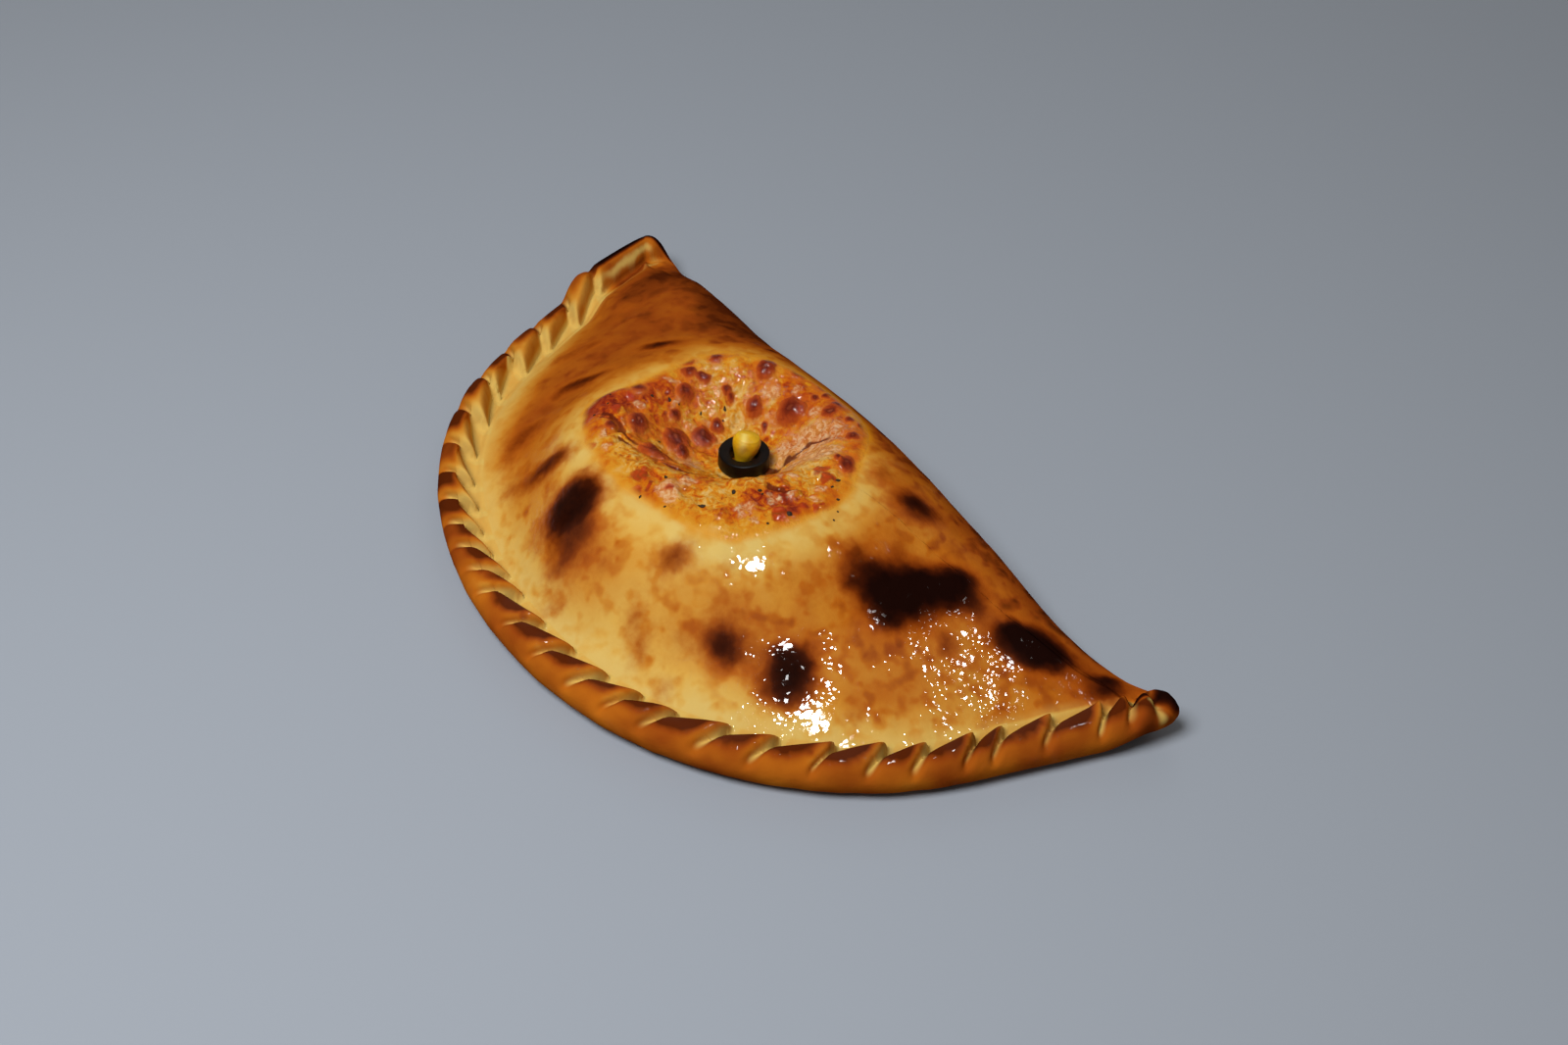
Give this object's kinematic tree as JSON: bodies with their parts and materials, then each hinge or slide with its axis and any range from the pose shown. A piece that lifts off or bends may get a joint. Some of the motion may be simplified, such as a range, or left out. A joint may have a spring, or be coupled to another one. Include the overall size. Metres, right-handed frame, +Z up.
{
  "type": "calzone",
  "caption": "Half-moon calzone with a crimped rope edge, a scorched golden crust and a hollow on top with melted cheese, tomato, an olive ring and a corn kernel.",
  "frame": {"origin": "middle of the bounding box, on the surface that the calzone lies on", "axes": "+X along the straight fold, -Y towards the curved crimped edge, +Z up"},
  "size_m": [0.2944, 0.154, 0.0448],
  "materials": {
    "crust": "baked golden-brown crust, lightly oiled, with scorched spots",
    "cheese_and_tomato": "melted cheese and tomato, oily, with browned blisters and herb flakes",
    "black_olive": "near-black, moist skin and cut faces",
    "sweetcorn": "bright yellow, smooth and moist"
  },
  "bodies": {
    "root": {"dough": "crust", "cheese_topping": "cheese_and_tomato", "olive_ring": "black_olive", "corn_kernel": "sweetcorn"}
  },
  "joints": []
}
